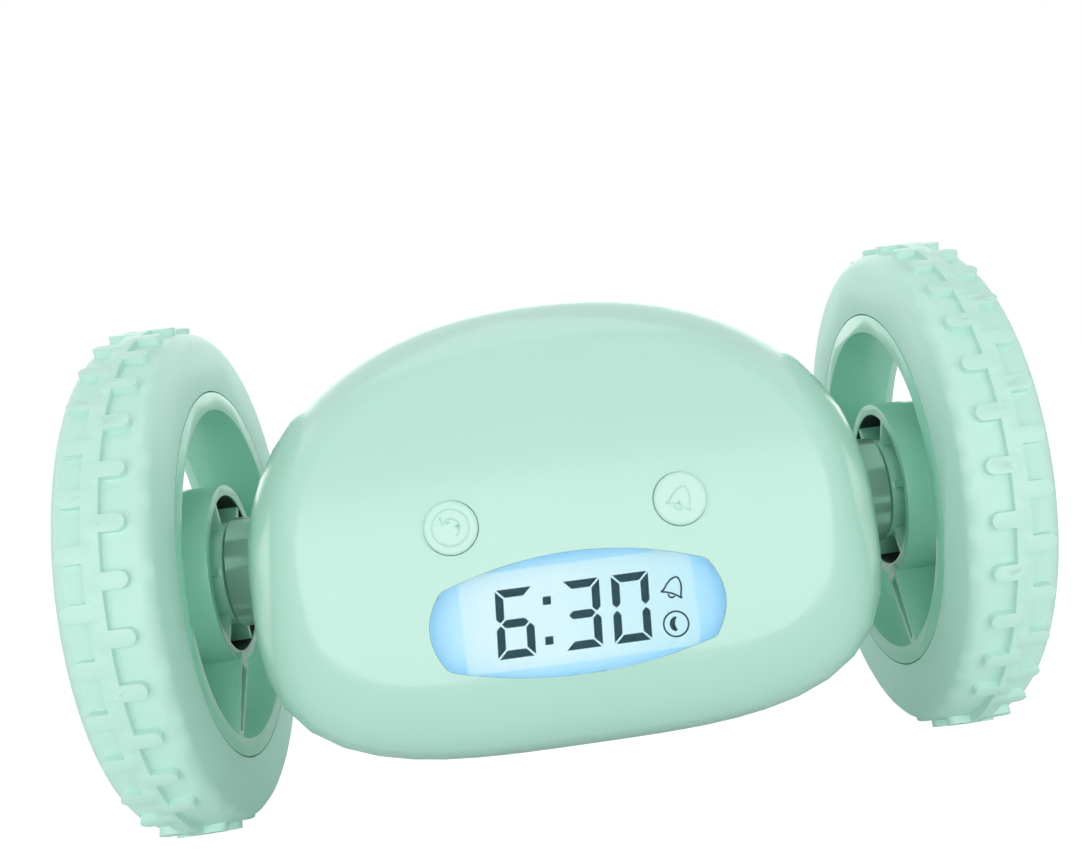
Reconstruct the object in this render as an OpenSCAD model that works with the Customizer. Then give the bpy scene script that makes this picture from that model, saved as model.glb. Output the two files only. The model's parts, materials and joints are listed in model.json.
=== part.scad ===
// Runaway alarm clock: a rounded body hung between two big treaded wheels.
// Frame: origin on the wheel axle, half way between the wheels. +X runs along the axle to the
// right of someone who reads the face, -Y is the way the face looks, +Z is up.

/* [Body] */
// Half width of the body at its widest section
body_half_w = 55.4; // [54:0.1:56.5]
// Height of the widest section above the body axis
body_top = 42.8; // [42:0.2:45]
// Depth of the widest section below the body axis
body_bottom = 35.9; // [35:0.1:37]
// Roundness of the section above the body axis, 2 is an ellipse
top_round = 2.19; // [2.1:0.05:2.6]
// Roundness of the section below the body axis
bottom_round = 3.38; // [3.1:0.05:3.8]
// Reach of the side surface in front of the widest section
front_depth = 35.8; // [35.4:0.2:37]
// Reach of the side surface behind the widest section
rear_depth = 40; // [39.5:0.5:43]
// Squareness of the side profile, 2 is an ellipse
side_round = 3.56; // [3.4:0.05:3.9]
// Distance from the widest section to the middle of the face
face_reach = 33; // [32.6:0.1:33.6]
// Radius of the shallow dome of the face
face_dome_r = 336; // [250:10:500]
// Lean of the face, up from vertical, in degrees
face_tilt = 11.9; // [10:0.5:14]
// Softening of the edge round the top of the face
crease_top = 2; // [1:0.25:3]
// Softening of the edge round the bottom of the face
crease_bottom = 7; // [4:0.5:9]
// Wall thickness of both casings
wall = 2; // [1.6:0.1:2.2]
// Place of the body axis in front of the wheel axle
body_y = -6.2; // [-7:0.1:-5.5]
// Height of the body axis from the wheel axle
body_z = -1.6; // [-2.2:0.1:-1]

/* [Wheels] */
// Radius over the tread
wheel_r = 46.75; // [45:0.25:50]
// Gap between the widest point of the body and the inner side of a wheel
wheel_gap = 6.6; // [6:0.2:9]
// Inner side of a tyre to the middle of its tread
tyre_in_w = 8.25; // [8:0.25:10]
// Middle of the tread to the outer side of the tyre
tyre_out_w = 7.2; // [7:0.2:9]
// Radius of the line where a tyre meets its rim
seam_r = 34.5; // [33.5:0.25:36]
// Inner radius of the rim
rim_in_r = 31; // [29:0.25:31.5]
// Height of the tread rib and bars over the tyre
tread_h = 1.1; // [0.8:0.1:1.5]
// Width of the rib round the middle of the tread
rib_w = 2.6; // [2:0.2:3.4]
// Number of bars on each side of the rib
bar_count = 34; // [24:1:38]
// Width of one tread bar
bar_w = 2.7; // [2:0.1:3.2]
// Reach of the bars from the middle of the tread
bar_reach = 5.1; // [4.8:0.1:6]
// Outer radius of the hub cup
cup_r = 16.7; // [15.5:0.1:18]
// Wall of the hub cup
cup_wall = 1.9; // [1.4:0.1:2.2]
// Radius of the boss in the middle of the cup
boss_r = 9.6; // [8.5:0.1:10]
// Thickness of the three outer arms
arm_t = 3.6; // [2.5:0.1:4.5]
// Width of the hollow spoke at the hub
spoke_hub_w = 4.6; // [3.8:0.1:6]
// Width of the hollow spoke at the rim
spoke_rim_w = 2.9; // [2.6:0.1:4]
// Thickness of the hollow spoke's walls
spoke_wall = 0.9; // [0.7:0.1:1.1]
// Radius of the collar on the body beside each wheel
collar_r = 10.3; // [9.5:0.1:11.5]
// Radius of a wheel axle
axle_r = 2; // [1.8:0.05:2.2]
// Radius of the hub cap
cap_r = 15.6; // [14:0.1:15.8]

/* [Face] */
// Radius of the two front buttons
button_r = 4.3; // [3.8:0.1:4.8]
// Distance of each front button from the middle
button_x = 18.3; // [17:0.1:20]
// Height of the front buttons from the body axis
button_z = 2.8; // [2.4:0.1:3.6]
// How far a front button stands out of the face
button_proud = 1; // [0.8:0.1:1.4]
// Travel of a front button
button_travel = 0.6; // [0.4:0.05:0.6]
// Gap between a button and its hole
button_gap = 0.1; // [0.05:0.05:0.2]
// Half width of the display at its corners
display_half_w = 21.2; // [20:0.2:22]
// Height of the display's upper corners from the body axis
display_top_z = -7.1; // [-7.6:0.1:-6.8]
// Height of the display's lower corners from the body axis
display_low_z = -19.5; // [-20:0.1:-18.5]
// Rise of the display's upper edge in the middle
display_top_bow = 3.8; // [3:0.1:4]
// Drop of the display's lower edge in the middle
display_low_bow = 3; // [2:0.1:3.5]
// Swell of the display's ends
display_end_bow = 2.3; // [1.5:0.1:2.6]
// How far the display window is sunk in the face
window_sink = 0.3; // [0.1:0.1:0.6]

/* [Drive] */
// Teeth of each small gear
pinion_teeth = 10; // [10:1:11]
// Teeth of each large gear
wheel_teeth = 36; // [34:1:38]
// Module of the two fast stages
fast_module = 0.5; // [0.48:0.01:0.52]
// Module of the slow stage
slow_module = 0.6; // [0.58:0.01:0.62]
// Length of a motor's can
motor_len = 25; // [22:0.5:25.5]
// Width of a motor's can
motor_w = 20; // [18:0.5:20.4]
// Thickness of a motor's can across its flats
motor_t = 15; // [14:0.5:15.2]
// Radius of a motor's shaft
motor_shaft_r = 1; // [0.8:0.05:1.1]
// Half the gap between the two motors
motor_mid_gap = 1.5; // [1:0.1:1.8]
// Radius of the steel pins that the gears turn on
gear_pin_r = 0.75; // [0.6:0.05:0.85]
// Wall of the gear cases
gear_wall = 1.5; // [1.2:0.1:1.6]

/* [Power] */
// Radius of a battery cell
cell_r = 5.2; // [5:0.05:5.25]
// Length of a battery cell
cell_len = 44.5; // [43.5:0.1:44.5]
// Spacing of the cells
cell_pitch = 10.8; // [10.7:0.05:10.9]
// Height of the steel bar that balances the body over its wheels
weight_t = 5.7; // [5:0.1:6]

/* [Rear controls] */
// Radius of the four setting buttons
set_button_r = 3; // [2.4:0.1:3.4]
// Spacing of the setting buttons
set_button_pitch = 11; // [9:0.25:12]
// Travel of a setting button
set_button_travel = 0.5; // [0.3:0.05:0.5]
// Radius of the loudspeaker
speaker_r = 14; // [12:0.25:14.5]
// Radius of one hole of the loudspeaker's grille
grille_hole_r = 0.8; // [0.6:0.05:1]

/* [Hidden] */

// Resolution of round exact forms and of the lofted body
$fn = 64;
LOFT_SIDES = 60;
// Clearances
RUN_FIT = 0.05;
SEAT_FIT = 0.02;
PANEL_GAP = 0.25;
SOLDER_GAP = 0.05;

// The wheel axle seen from the body's own frame, which leans with the face
axle_y = cos(face_tilt) * -body_y - sin(face_tilt) * -body_z;
axle_z = sin(face_tilt) * -body_y + cos(face_tilt) * -body_z;
split_y = axle_y;

// Colours
MINT = [0.72, 0.93, 0.85];
MINT_DARK = [0.6, 0.84, 0.75];
STEEL = [0.72, 0.73, 0.75];
BOARD = [0.1, 0.38, 0.24];
NYLON = [0.93, 0.92, 0.88];
BLACK = [0.12, 0.12, 0.13];
GLOW = [0.72, 0.9, 0.98];

// ---------------------------------------------------------------- body surface

function clamp01(v) = min(1, max(0, v));
function smooth(v) = let (c = clamp01(v)) c * c * (3 - 2 * c);

// Radius of the widest section in direction a, drawn in by inset
function section_r(a, inset) =
    let (n = sin(a) >= 0 ? top_round : bottom_round,
         h = (sin(a) >= 0 ? body_top : body_bottom) - inset)
    pow(pow(abs(cos(a)) / (body_half_w - inset), n) + pow(abs(sin(a)) / h, n), -1 / n);

// Share of the section that is left at distance d from it, for a side surface of this depth
function side_share(d, depth) = pow(1 - pow(min(1, abs(d) / depth), side_round), 1 / side_round);

// Depth of the side surface where that share is left
function side_reach(share, depth) = depth * pow(1 - pow(min(1, share), side_round), 1 / side_round);

// Face dome at distance r from its middle
function dome_y(r, inset) =
    let (big = face_dome_r - inset) -(face_reach - inset) + big - sqrt(big * big - r * r);

// Share of the section at which the side surface meets the dome, by halving
function crease_share(rad, inset, low = 0.3, high = 1, step = 0) =
    step > 16 ? (low + high) / 2 :
    let (mid = (low + high) / 2,
         past = -side_reach(mid, front_depth - inset) > dome_y(mid * rad, inset))
    past ? crease_share(rad, inset, low, mid, step + 1) : crease_share(rad, inset, mid, high, step + 1);

function bend(p, q, r, t) = (1 - t) * (1 - t) * p + 2 * t * (1 - t) * q + t * t * r;

// Front profile in direction a: pairs of radius and y, from start_y to the face
function front_profile(a, inset, start_y) =
    let (rad = section_r(a, inset),
         depth = front_depth - inset,
         soft = crease_top + (crease_bottom - crease_top) * smooth(0.15 - 1.15 * sin(a)),
         share = crease_share(rad, inset),
         edge = [share * rad, dome_y(share * rad, inset)],
         first_y = edge[1] + soft * 0.9,
         first = [side_share(first_y, depth) * rad, first_y],
         last_r = edge[0] - soft,
         last = [last_r, dome_y(last_r, inset)])
    concat(
        [[side_share(start_y, rear_depth - inset) * rad, start_y], [rad, 0]],
        [for (k = [1 : 4]) let (y = first_y * pow(k / 5, 0.6)) [side_share(y, depth) * rad, y]],
        [for (t = [0 : 0.25 : 1]) bend(first, edge, last, t)],
        [for (k = [2, 1]) [last_r * k / 3, dome_y(last_r * k / 3, inset)]]);

// Rear profile in direction a, from start_y to the back
function rear_profile(a, inset, start_y) =
    let (rad = section_r(a, inset), depth = rear_depth - inset)
    concat(
        [[side_share(start_y, depth) * rad, start_y]],
        [for (u = [22, 36, 48, 59, 69, 78, 84])
            [pow(cos(u), 2 / side_round) * rad, pow(sin(u), 2 / side_round) * depth]]);

// Solid between rings of points, flat at the first ring and drawn to one point at the last
module loft(rings, tip) {
    n = len(rings[0]);
    last = len(rings) - 1;
    flip = tip[1] < rings[0][0][1];
    points = concat([for (ring = rings) for (p = ring) p], [tip]);
    cap = [for (i = [0 : n - 1]) i];
    sides = [for (k = [0 : last - 1]) for (i = [0 : n - 1])
        let (j = (i + 1) % n, a = k * n + i, b = k * n + j, c = a + n, d = b + n)
        each [[a, b, d], [a, d, c]]];
    nose = [for (i = [0 : n - 1]) [last * n + i, last * n + (i + 1) % n, (last + 1) * n]];
    faces = concat([flip ? cap : reverse(cap)],
        [for (f = concat(sides, nose)) flip ? reverse(f) : f]);
    polyhedron(points = points, faces = faces, convexity = 4);
}

function reverse(list) = [for (i = [len(list) - 1 : -1 : 0]) list[i]];

// Turns a table of profiles, one for each direction, into rings
function rings_of(profiles) =
    [for (k = [0 : len(profiles[0]) - 1])
        [for (i = [0 : len(profiles) - 1])
            let (a = 360 * i / len(profiles), p = profiles[i][k]) [p[0] * cos(a), p[1], p[0] * sin(a)]]];

module front_loft(inset, start_y, sides = LOFT_SIDES) {
    loft(rings_of([for (i = [0 : sides - 1]) front_profile(360 * i / sides, inset, start_y)]),
         [0, -(face_reach - inset), 0]);
}

module rear_loft(inset, start_y, sides = LOFT_SIDES) {
    loft(rings_of([for (i = [0 : sides - 1]) rear_profile(360 * i / sides, inset, start_y)]),
         [0, rear_depth - inset, 0]);
}

// Puts its children in the body's own frame: face to -y, leaning up with the face
module in_body() translate([0, body_y, body_z]) rotate([-face_tilt, 0, 0]) children();

// Cylinder along y in the body's frame, from y0 to y1
module bar_y(x, z, r, y0, y1) translate([x, y0, z]) rotate([-90, 0, 0]) cylinder(r = r, h = y1 - y0);

// Extrudes a drawing of y and z along x
module along_x(x0, x1) translate([x0, 0, 0]) rotate([90, 0, 90]) linear_extrude(x1 - x0) children();

// Cylinder along x
module bar_x(r, x0, x1) translate([x0, 0, 0]) rotate([0, 90, 0]) cylinder(r = r, h = x1 - x0);

// Revolves a drawing of radius and x about the axle
module revolve_x() rotate([0, 90, 0]) rotate_extrude() children();

module block(x0, x1, y0, y1, z0, z1) translate([x0, y0, z0]) cube([x1 - x0, y1 - y0, z1 - z0]);

module both_sides() {
    children();
    mirror([1, 0, 0]) children();
}

// ---------------------------------------------------------------- places that pieces share

FAR = 100;
// Wheels along the axle
wheel_in_x = body_half_w + wheel_gap;
tread_x = wheel_in_x + tyre_in_w;
wheel_out_x = tread_x + tyre_out_w;
collar_x0 = body_half_w - 3.4;
collar_x1 = wheel_in_x - 0.4;
hub_out_x = wheel_out_x - 2.5;
hub_floor_x = hub_out_x - 3.1;

// Gear train along the axle
gear_x0 = motor_mid_gap + motor_len;
gear_x1 = gear_x0 + gear_wall;
gear_x2 = gear_x1 + 16.5;
gear_x3 = gear_x2 + gear_wall;
FAST_W = 3;
SLOW_W = 4;
first_x = gear_x1 + 1;
second_x = first_x + FAST_W + 1;
output_x = second_x + FAST_W + 2;
fast_span = fast_module * (pinion_teeth + wheel_teeth) / 2;
slow_span = slow_module * (pinion_teeth + wheel_teeth) / 2;
// Directions from each gear to the next, from the axle to the motor
SLOW_DIR = 170;
FAST_DIR = 260;
MOTOR_DIR = 288;
function heading(a) = [cos(a), sin(a)];
second_pos = slow_span * heading(SLOW_DIR);
first_pos = second_pos + fast_span * heading(FAST_DIR);
motor_pos = first_pos + fast_span * heading(MOTOR_DIR);

// Front board, seen from the body's frame
board_y = -face_reach + 7.4;
BOARD_T = 1.6;
board_half_w = 32;
board_z0 = -25.8;
board_z1 = 12.5;
board_post_x = board_half_w - 3;
board_post_z = [board_z0 + 2.3, board_z1 - 3.3];
POST_R = 2.2;
SMALL_SCREW_R = 0.9;
SMALL_HEAD_R = 1.9;
SMALL_HEAD_T = 1;
flange_t = 1;
flange_y = board_y - button_travel - SOLDER_GAP - 0.95 - flange_t;
flange_r = button_r + 1.1;
tube_r = button_r + 1.4;

// Display stack
lcd_t = 1.5;
lcd_half_w = display_half_w - 2.7;
lcd_z0 = display_low_z - 1.1;
lcd_z1 = display_top_z + 2.2;
lcd_y0 = dome_y(norm([lcd_half_w, lcd_z0]), wall) + PANEL_GAP;

// Casing screws: along y, in pairs
SCREW_R = 1.1;
SCREW_HEAD_R = 2.1;
screw_seat_y = split_y + 4;
top_screw = [36, 24];
low_screw = [38, -28.7];
ear_screw = [41.5, 19.2];
ear_y = 2;
EAR_T = 2;

// Battery bay
bay_y0 = split_y + 1.5;
bay_y1 = bay_y0 + 2 * cell_pitch + 0.4;
bay_z1 = -8.2;
bay_half_x = cell_len / 2 + 2.9;
ledge_half_x = bay_half_x + 5.8;
ledge_z1 = -20.5;
bay_wall = 1.2;
plate_t = 0.4;
PLATE_HALF_W = 4.2;
door_screw_x = bay_half_x + 3;
door_screw_y = (bay_y0 + bay_y1) / 2;
door_screw_z = -33;

// Rear controls
set_z = -2;
key_board_y = rear_depth - 9;
key_half_w = 25.5;
key_post_x = key_half_w - 2.6;
set_flange_y = rear_depth - 4.4;
set_tube_y = set_flange_y + flange_t;
speaker_z = 20;
speaker_face_y = rear_depth - 10;
speaker_t = 4.5;
speaker_ring = 1.3;

// Balance weight on the roof of the battery bay, in a low frame that is open at the back
roof_z = bay_z1 + bay_wall;
weight_half_x = 24;
weight_y1 = key_board_y - SMALL_HEAD_T - 0.4;
weight_y0 = weight_y1 - 12;
FRAME_W = 1.2;
FRAME_H = 2;

// ---------------------------------------------------------------- body pieces

// Outline of the display: four shallow arcs with rounded corners
function arc_bow(p, q, bow, n) =
    [for (k = [0 : n - 1]) let (t = k / n, d = q - p, side = [d[1], -d[0]] / norm(d))
        p + d * t + side * bow * 4 * t * (1 - t)];

module display_outline(grow) {
    w = display_half_w;
    offset(r = 2.2 + grow, $fn = 40) offset(delta = -2.2)
        polygon(concat(
            arc_bow([-w, display_low_z], [w, display_low_z], display_low_bow, 14),
            arc_bow([w, display_low_z], [w, display_top_z], display_end_bow, 8),
            arc_bow([w, display_top_z], [-w, display_top_z], display_top_bow, 14),
            arc_bow([-w, display_top_z], [-w, display_low_z], display_end_bow, 8)));
}

// A drawing of x and z, stretched along y
module along_y(y0, y1) translate([0, y1, 0]) rotate([90, 0, 0]) linear_extrude(y1 - y0) children();

module front_posts() {
    both_sides() {
        for (z = board_post_z) bar_y(board_post_x, z, POST_R, -FAR, board_y);
        bar_y(top_screw[0], top_screw[1], 3, -FAR, split_y);
        bar_y(low_screw[0], low_screw[1], POST_R, -12, split_y);
        bar_y(ear_screw[0], ear_screw[1], 2.4, -FAR, ear_y);
        bar_y(button_x, button_z, tube_r, -FAR, flange_y);
    }
}

// Half of the round collar beside each wheel
module collar_half(front) {
    both_sides() intersection() {
        bar_x(collar_r, collar_x0, collar_x1);
        in_body() if (front) block(0, FAR, -FAR, split_y, -FAR, FAR);
                  else block(0, FAR, split_y, FAR, -FAR, FAR);
    }
}

module bush_hole() both_sides() bar_x(4.5 + SEAT_FIT, collar_x0 - 5, FAR);

module front_casing() color(MINT) difference() {
    union() {
        in_body() front_loft(0, split_y);
        collar_half(true);
    }
    in_body() difference() {
        front_loft(wall, split_y + 1, 48);
        front_posts();
    }
    bush_hole();
    in_body() {
        along_y(-FAR, -FAR / 4) display_outline(0.1);
        both_sides() {
            bar_y(button_x, button_z, button_r + button_gap, -FAR, 0);
            for (z = board_post_z) bar_y(board_post_x, z, SMALL_SCREW_R + SEAT_FIT, board_y - 3, 0);
            bar_y(top_screw[0], top_screw[1], SCREW_R + SEAT_FIT, screw_seat_y - 12, FAR);
            bar_y(low_screw[0], low_screw[1], SCREW_R + SEAT_FIT, screw_seat_y - 12, FAR);
            bar_y(ear_screw[0], ear_screw[1], SCREW_R + SEAT_FIT, ear_y - 8, FAR);
        }
    }
}

module rear_posts() {
    block(-bay_half_x - bay_wall, bay_half_x + bay_wall, bay_y0 - bay_wall, bay_y1 + bay_wall,
          -FAR, bay_z1 + bay_wall);
    block(-ledge_half_x - bay_wall, ledge_half_x + bay_wall, bay_y0 - bay_wall, bay_y1 + bay_wall,
          -FAR, ledge_z1);
    block(-weight_half_x - FRAME_W, weight_half_x + FRAME_W, weight_y0 - FRAME_W, weight_y1,
          bay_z1, roof_z + FRAME_H);
    both_sides() {
        bar_y(top_screw[0], top_screw[1], 3.4, 0, FAR);
        bar_y(low_screw[0], low_screw[1], 3.4, 0, FAR);
        bar_y(key_post_x, set_z, POST_R, key_board_y + BOARD_T, FAR);
        for (i = [0, 1]) bar_y((i + 0.5) * set_button_pitch, set_z, set_button_r + 1.4, set_tube_y, FAR);
    }
    difference() {
        bar_y(0, speaker_z, speaker_r + 0.2 + speaker_ring, speaker_face_y - speaker_t, FAR);
        bar_y(0, speaker_z, speaker_r + 0.2, -FAR, speaker_face_y);
        bar_y(0, speaker_z, speaker_r - 1.3, -FAR, FAR * 2);
    }
}

module door_prism(gap) {
    block(-ledge_half_x + gap, ledge_half_x - gap, bay_y0 + gap, bay_y1 - gap, -FAR, ledge_z1);
}

module grille_holes() {
    bar_y(0, speaker_z, grille_hole_r, 0, FAR);
    for (ring = [1, 2]) for (i = [1 : 6 * ring])
        bar_y(3.6 * ring * cos(60 * i / ring), speaker_z + 3.6 * ring * sin(60 * i / ring),
              grille_hole_r, 0, FAR);
}

module rear_casing() color(MINT) difference() {
    union() {
        in_body() rear_loft(0, split_y);
        collar_half(false);
    }
    in_body() difference() {
        rear_loft(wall, split_y - 1, 48);
        rear_posts();
    }
    bush_hole();
    in_body() {
        difference() {
            door_prism(0);
            rear_loft(wall, split_y - 1, 48);
        }
        block(-bay_half_x, bay_half_x, bay_y0, bay_y1, -FAR, bay_z1);
        block(-weight_half_x - RUN_FIT, weight_half_x + RUN_FIT, weight_y0 - RUN_FIT, weight_y1 + 1,
              roof_z, roof_z + FRAME_H + 1);
        grille_holes();
        both_sides() {
            bar_y(top_screw[0], top_screw[1], SCREW_R + 0.15, 0, FAR);
            bar_y(low_screw[0], low_screw[1], SCREW_R + 0.15, 0, FAR);
            bar_y(top_screw[0], top_screw[1], SCREW_HEAD_R + 0.2, screw_seat_y, FAR);
            bar_y(low_screw[0], low_screw[1], SCREW_HEAD_R + 0.2, screw_seat_y, FAR);
            bar_y(key_post_x, set_z, SMALL_SCREW_R + SEAT_FIT, 0, key_board_y + BOARD_T + 4);
            for (i = [0, 1]) bar_y((i + 0.5) * set_button_pitch, set_z, set_button_r + button_gap, 0, FAR);
            translate([door_screw_x, door_screw_y, door_screw_z]) cylinder(r = SCREW_R + RUN_FIT, h = 9);
        }
    }
}

module battery_door() color(MINT) in_body() difference() {
    intersection() {
        rear_loft(0, split_y);
        door_prism(PANEL_GAP);
    }
    rear_loft(wall - SOLDER_GAP, split_y - 1, 48);
    both_sides() translate([door_screw_x, door_screw_y, -FAR]) {
        cylinder(r = SCREW_R + SEAT_FIT, h = FAR);
        cylinder(r = SCREW_HEAD_R + 0.1, h = FAR + door_screw_z);
    }
}

// Pan head screw: head below, shank up, with a cross recess
module screw(head_r, head_t, shank_r, length) {
    difference() {
        translate([0, 0, -head_t]) cylinder(r = head_r, h = head_t);
        for (a = [0, 90]) rotate(a)
            translate([-head_r * 0.6, -0.2, -head_t - 1]) cube([head_r * 1.2, 0.4, 1.5]);
    }
    cylinder(r = shank_r, h = length);
}

// Screw that points to -y, with its seat at y
module screw_y(x, z, y, head_r, shank_r, length)
    translate([x, y, z]) rotate([90, 0, 0]) screw(head_r, head_r * 0.55, shank_r, length);

module door_screws() color(STEEL) in_body() both_sides()
    translate([door_screw_x, door_screw_y, door_screw_z]) screw(SCREW_HEAD_R, 0.9, SCREW_R, 8);

module casing_screws() color(STEEL) in_body() both_sides()
    for (p = [top_screw, low_screw]) screw_y(p[0], p[1], screw_seat_y, SCREW_HEAD_R, SCREW_R, 11);

module gear_case_screws() color(STEEL) in_body() both_sides()
    screw_y(ear_screw[0], ear_screw[1], ear_y + EAR_T, SCREW_HEAD_R, SCREW_R, EAR_T + 7);

// ---------------------------------------------------------------- face

// Disc with the dome of the face in front, sunk by inset, and a flat back
module dome_disc(inset) {
    r = norm([display_half_w, display_low_z]) + 1;
    rotate([-90, 0, 0]) rotate_extrude() polygon(concat(
        [[0, lcd_y0], [r, lcd_y0]], [for (k = [8 : -1 : 0]) [r * k / 8, dome_y(r * k / 8, inset)]]));
}

module display_window() color([0.85, 0.95, 1, 0.4]) in_body() intersection() {
    along_y(-face_reach - 1, lcd_y0) display_outline(0);
    dome_disc(window_sink);
}

module lcd_glass() color([0.75, 0.85, 0.88]) in_body()
    block(-lcd_half_w, lcd_half_w, lcd_y0, lcd_y0 + lcd_t, lcd_z0, lcd_z1);

module light_guide() color(GLOW) in_body() along_y(lcd_y0 + lcd_t, board_y) display_outline(1.2);

// Round button: a slightly domed cap on a flange that stays behind the wall
module front_button(x) in_body() {
    top = button_proud - dome_y(norm([x, button_z]), 0);
    translate([x, flange_y, button_z]) rotate([90, 0, 0]) rotate_extrude() polygon(concat(
        [[0, -flange_t], [flange_r, -flange_t], [flange_r, 0], [button_r, 0]],
        [for (a = [0 : 22.5 : 90]) let (h = top + flange_y)
            [button_r - 0.5 + 0.5 * cos(a), h - 0.5 + 0.5 * sin(a) - (a == 90 ? 0 : 0.05)]],
        [[0, top + flange_y + 0.05]]));
}

module snooze_button() color(MINT) front_button(-button_x);
module alarm_button() color(MINT) front_button(button_x);

module main_board() color(BOARD) in_body() difference() {
    block(-board_half_w, board_half_w, board_y, board_y + BOARD_T, board_z0, board_z1);
    both_sides() for (z = board_post_z) bar_y(board_post_x, z, SMALL_SCREW_R + 0.1, -FAR, FAR);
}

// Flat dome switches below the two front buttons
module front_key_switches() color(STEEL) in_body() both_sides() {
    bar_y(button_x, button_z, 3, board_y - 0.35, board_y);
    bar_y(button_x, button_z, 2, board_y - 0.95, board_y - 0.35);
}

module board_screws() color(STEEL) in_body() both_sides()
    for (z = board_post_z)
        screw_y(board_post_x, z, board_y + BOARD_T, SMALL_HEAD_R, SMALL_SCREW_R, BOARD_T + 2.8);

// ---------------------------------------------------------------- rear controls

module set_button(i) color(MINT_DARK) in_body() {
    x = (i - 1.5) * set_button_pitch;
    bar_y(x, set_z, set_button_r + 0.9, set_flange_y, set_tube_y);
    bar_y(x, set_z, set_button_r, set_tube_y, rear_depth + 0.7);
}

module hour_button() set_button(0);
module minute_button() set_button(1);
module alarm_set_button() set_button(2);
module mode_button() set_button(3);

module rear_board() color(BOARD) in_body() difference() {
    block(-key_half_w, key_half_w, key_board_y, key_board_y + BOARD_T, set_z - 5, set_z + 5);
    both_sides() bar_y(key_post_x, set_z, SMALL_SCREW_R + 0.1, -FAR, FAR);
}

module rear_key_switches() color(STEEL) in_body() both_sides() for (i = [0, 1]) {
    x = (i + 0.5) * set_button_pitch;
    top = set_flange_y - set_button_travel - SOLDER_GAP;
    block(x - 2.2, x + 2.2, key_board_y + BOARD_T, top - 0.8, set_z - 2.2, set_z + 2.2);
    bar_y(x, set_z, 1.2, top - 0.8, top);
}

module rear_board_screws() color(STEEL) in_body() both_sides()
    translate([key_post_x, key_board_y, set_z]) rotate([-90, 0, 0])
        screw(SMALL_HEAD_R, SMALL_HEAD_T, SMALL_SCREW_R, BOARD_T + 3.6);

module loudspeaker() color(BLACK) in_body() translate([0, speaker_face_y, speaker_z]) rotate([90, 0, 0])
    rotate_extrude() polygon([[0, 3.2], [4, 3], [speaker_r - 2.5, 0.4], [speaker_r - 1.5, 0],
        [speaker_r, 0], [speaker_r, 1.2], [speaker_r - 1.4, 1.8], [8, speaker_t],
        [8, speaker_t + 4], [0, speaker_t + 4]]);

// ---------------------------------------------------------------- power

// Cells lie in two rows and two layers, and each second one is turned round
module at_cell(k) {
    i = k % 2;
    j = floor(k / 2);
    turn = (i + j) % 2;
    in_body() translate([0, bay_y0 + 0.2 + cell_pitch * (i + 0.5), bay_z1 - 0.2 - cell_pitch * (j + 0.5)])
        mirror([turn, 0, 0]) children();
}

cell_shift = bay_half_x - plate_t - cell_len / 2 - SOLDER_GAP;
module cell(k) at_cell(k) color([0.3, 0.45, 0.5]) rotate([0, 90, 0]) translate([0, 0, cell_shift])
    rotate_extrude() polygon([[0, -cell_len / 2], [cell_r - 0.3, -cell_len / 2],
        [cell_r, -cell_len / 2 + 0.4], [cell_r, cell_len / 2 - 1.2], [cell_r - 0.6, cell_len / 2 - 0.8],
        [1.9, cell_len / 2 - 0.8], [1.9, cell_len / 2], [0, cell_len / 2]]);

module battery_cell_1() cell(0);
module battery_cell_2() cell(1);
module battery_cell_3() cell(2);
module battery_cell_4() cell(3);

// One plate for each cell end, face to face with the end walls of the bay
module battery_contacts() color(STEEL) for (k = [0 : 3]) at_cell(k) both_sides()
    block(bay_half_x - plate_t, bay_half_x, -PLATE_HALF_W, PLATE_HALF_W, -PLATE_HALF_W, PLATE_HALF_W);

module battery_springs() color(STEEL) for (k = [0 : 3]) at_cell(k)
    rotate([0, 90, 0]) translate([0, 0, -bay_half_x + plate_t]) rotate_extrude()
        polygon([[3.4, 0], [3.9, 0], [2.7, cell_shift * 2 + 0.02], [2.2, cell_shift * 2 + 0.02]]);

module balance_weight() color(STEEL) in_body()
    block(-weight_half_x, weight_half_x, weight_y0, weight_y1, roof_z, roof_z + weight_t);

// ---------------------------------------------------------------- gears

PRESSURE = 20;
PINION_SHIFT = 0.3;
BACKLASH = 0.08;
TO_DEG = 180 / PI;
function involute(a) = tan(a) * TO_DEG - a;

// Outline of a spur gear with a tooth in direction turn
function gear_points(teeth, mod, shift, turn) =
    let (pitch_r = teeth * mod / 2,
         base_r = pitch_r * cos(PRESSURE),
         tip_r = pitch_r + mod * (0.8 + shift),
         root_r = pitch_r - mod * (1.05 - shift),
         half = 90 / teeth + (2 * shift * tan(PRESSURE) / teeth - BACKLASH / (2 * pitch_r)) * TO_DEG,
         low_r = max(base_r, root_r + 0.02),
         radii = [low_r, (low_r + pitch_r) / 2, (pitch_r + tip_r) / 2, tip_r],
         flank = [for (r = radii) [r, half + involute(PRESSURE) - involute(acos(min(1, base_r / r)))]],
         tooth = concat([[root_r, -flank[0][1]]], [for (f = flank) [f[0], -f[1]]],
             [for (i = [3, 2, 1, 0]) flank[i]], [[root_r, flank[0][1]]]))
    [for (k = [0 : teeth - 1]) for (p = tooth) p[0] * heading(turn + 360 * k / teeth + p[1])];

module small_gear(mod, turn, x0, x1)
    along_x(x0, x1) polygon(gear_points(pinion_teeth, mod, PINION_SHIFT, turn));
module large_gear(mod, turn, x0, x1)
    along_x(x0, x1) polygon(gear_points(wheel_teeth, mod, -PINION_SHIFT, turn));

module at_pos(p) translate([0, p[0], p[1]]) children();

// A small gear has a gap, and a large gear a tooth, on the line between their centres
small_turn = 180 + 180 / pinion_teeth;

module motor_pinion_shape() at_pos(motor_pos) difference() {
    small_gear(fast_module, MOTOR_DIR + small_turn, first_x - 0.3, first_x + FAST_W + 0.3);
    bar_x(motor_shaft_r + SEAT_FIT, 0, FAR);
}

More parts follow.
